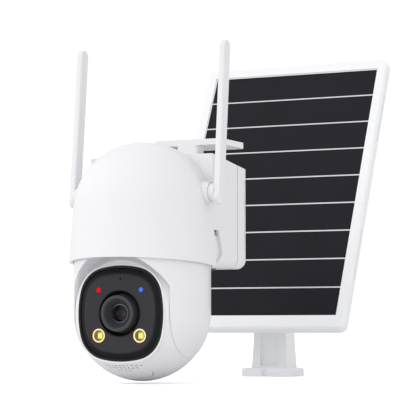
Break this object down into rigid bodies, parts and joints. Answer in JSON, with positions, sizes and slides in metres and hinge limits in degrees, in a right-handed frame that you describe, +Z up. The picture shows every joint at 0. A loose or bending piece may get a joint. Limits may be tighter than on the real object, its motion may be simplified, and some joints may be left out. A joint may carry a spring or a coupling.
{
  "type": "solar-powered security camera",
  "caption": "Pan and tilt security camera: domed white housing with a round tilting head and folding antennas, and a tilting solar panel on a post.",
  "frame": {"origin": "centre of the top face of the camera's ceiling plate, which is the face screwed to the wall arm or ceiling", "axes": "+Z up, +X to the right of a person who stands behind the camera and looks where it looks turned round, so -Y is the way the lens faces and +Y is behind"},
  "size_m": [0.172, 0.3582, 0.2752],
  "materials": {
    "white_plastic": "satin moulded white",
    "panel_plastic": "satin moulded white",
    "bracket_plastic": "fine matt white",
    "inner_plastic": "matt grey",
    "black_plastic": "gloss black",
    "face_grey": "satin dark grey",
    "lens_black": "black anodised",
    "lens_glass": "coated glass",
    "white_light": "yellow phosphor",
    "reflector": "bright reflector",
    "red_light": "lit red",
    "blue_light": "lit blue",
    "rubber_white": "matt white",
    "rubber_grey": "matt grey",
    "steel": "bright",
    "screw_dark": "blackened",
    "acetal": "natural acetal",
    "bearing_steel": "ground",
    "motor_steel": "plated can",
    "board_green": "solder mask",
    "battery_wrap": "shrink wrap",
    "cell_glass": "cells under glass",
    "ribbon_metal": "tinned ribbon"
  },
  "bodies": {
    "fixed_unit": {"front_housing": "white_plastic", "rear_housing": "white_plastic", "rear_cover": "white_plastic", "housing_seal": "rubber_grey", "cover_screws": "steel", "partition_plate": "inner_plastic", "pan_bearing": "bearing_steel", "pan_motor": "motor_steel", "main_board": "board_green", "battery_cells": "battery_wrap", "battery_holder": "inner_plastic", "charging_inlet": "black_plastic", "mounting_neck": "bracket_plastic", "neck_screw": "screw_dark", "mounting_plate": "bracket_plastic", "stand_base": "panel_plastic", "stand_post": "panel_plastic"},
    "turntable": {"pan_cup": "white_plastic", "pan_hub": "acetal", "retaining_ring": "steel", "pan_gear": "acetal", "tilt_gear": "acetal", "tilt_trunnions": "inner_plastic"},
    "pan_drive": {"pan_pinion": "acetal"},
    "camera_head": {"head_front_shell": "white_plastic", "head_rear_shell": "white_plastic", "tilt_bushes": "acetal", "face_rim": "black_plastic", "face_panel": "face_grey", "lens_bezel": "black_plastic", "lens_barrel": "lens_black", "front_lens": "lens_glass", "light_board": "board_green", "status_light_red": "red_light", "status_light_blue": "blue_light", "spotlight_cups": "reflector", "spotlight_chips": "white_light", "sensor_board": "board_green", "microphone": "steel", "speaker": "black_plastic", "tilt_motor": "motor_steel", "card_reader": "steel"},
    "tilt_drive": {"tilt_pinion": "acetal"},
    "card_door": {"card_cover": "white_plastic"},
    "reset_key": {"reset_button": "inner_plastic"},
    "left_antenna": {"antenna_left": "white_plastic"},
    "right_antenna": {"antenna_right": "white_plastic"},
    "socket_flap": {"port_cover": "rubber_white"},
    "power_key": {"power_button": "rubber_grey"},
    "swivel": {"swivel_head": "panel_plastic"},
    "panel": {"panel_frame": "panel_plastic", "panel_back": "panel_plastic", "cell_strips": "cell_glass", "cell_ribbons": "ribbon_metal", "junction_box": "panel_plastic", "cable_gland": "black_plastic", "panel_bracket": "panel_plastic", "bracket_screws": "steel", "hinge_bolt": "steel"},
    "clamp_knob": {"hinge_knob": "panel_plastic"}
  },
  "joints": [
    {"name": "pan", "type": "hinge", "parent": "fixed_unit", "child": "turntable", "pos_m": [0, -0.096, -0.0876], "axis": [0, 0, 1], "range_deg": [-175, 175]},
    {"name": "pan_pinion_spin", "type": "hinge", "parent": "fixed_unit", "child": "pan_drive", "pos_m": [-0.02486, -0.11341, -0.0716], "axis": [0, 0, 1], "range_deg": [-705, 705]},
    {"name": "tilt", "type": "hinge", "parent": "turntable", "child": "camera_head", "pos_m": [0, -0.096, -0.1356], "axis": [1, 0, 0], "range_deg": [-15, 90]},
    {"name": "tilt_pinion_spin", "type": "hinge", "parent": "camera_head", "child": "tilt_drive", "pos_m": [0.03, -0.08041, -0.14868], "axis": [1, 0, 0], "range_deg": [-50, 275]},
    {"name": "card_cover_hinge", "type": "hinge", "parent": "camera_head", "child": "card_door", "pos_m": [0, -0.1101, -0.1828], "axis": [1, 0, 0], "range_deg": [0, 80]},
    {"name": "reset_press", "type": "slide", "parent": "camera_head", "child": "reset_key", "axis": [0, 0, 1], "range_m": [0, 0.0006], "stiffness_N_per_m": 300},
    {"name": "left_antenna_fold", "type": "hinge", "parent": "fixed_unit", "child": "left_antenna", "pos_m": [-0.056, -0.091, -0.0476], "axis": [1, 0, 0], "range_deg": [-84, 96]},
    {"name": "right_antenna_fold", "type": "hinge", "parent": "fixed_unit", "child": "right_antenna", "pos_m": [0.056, -0.091, -0.0476], "axis": [1, 0, 0], "range_deg": [-84, 96]},
    {"name": "socket_flap_hinge", "type": "hinge", "parent": "fixed_unit", "child": "socket_flap", "pos_m": [-0.034, -0.0384, -0.1032], "axis": [1, 0, 0], "range_deg": [0, 100]},
    {"name": "power_press", "type": "slide", "parent": "fixed_unit", "child": "power_key", "axis": [0, 0, 1], "range_m": [0, 0.0012], "stiffness_N_per_m": 400},
    {"name": "panel_swivel", "type": "hinge", "parent": "fixed_unit", "child": "swivel", "pos_m": [0.001, 0.147, -0.0976], "axis": [0, 0, 1], "range_deg": [-90, 90]},
    {"name": "panel_tilt", "type": "hinge", "parent": "swivel", "child": "panel", "pos_m": [0.001, 0.147, -0.0756], "axis": [1, 0, 0], "range_deg": [-54, 10]},
    {"name": "clamp_knob_turn", "type": "hinge", "parent": "panel", "child": "clamp_knob", "pos_m": [0.02, 0.147, -0.0756], "axis": [1, 0, 0], "range_deg": [0, 360]}
  ],
  "couplings": [
    {"joint": "pan_pinion_spin", "follows": "pan", "ratio": -4},
    {"joint": "tilt_pinion_spin", "follows": "tilt", "ratio": 3}
  ]
}
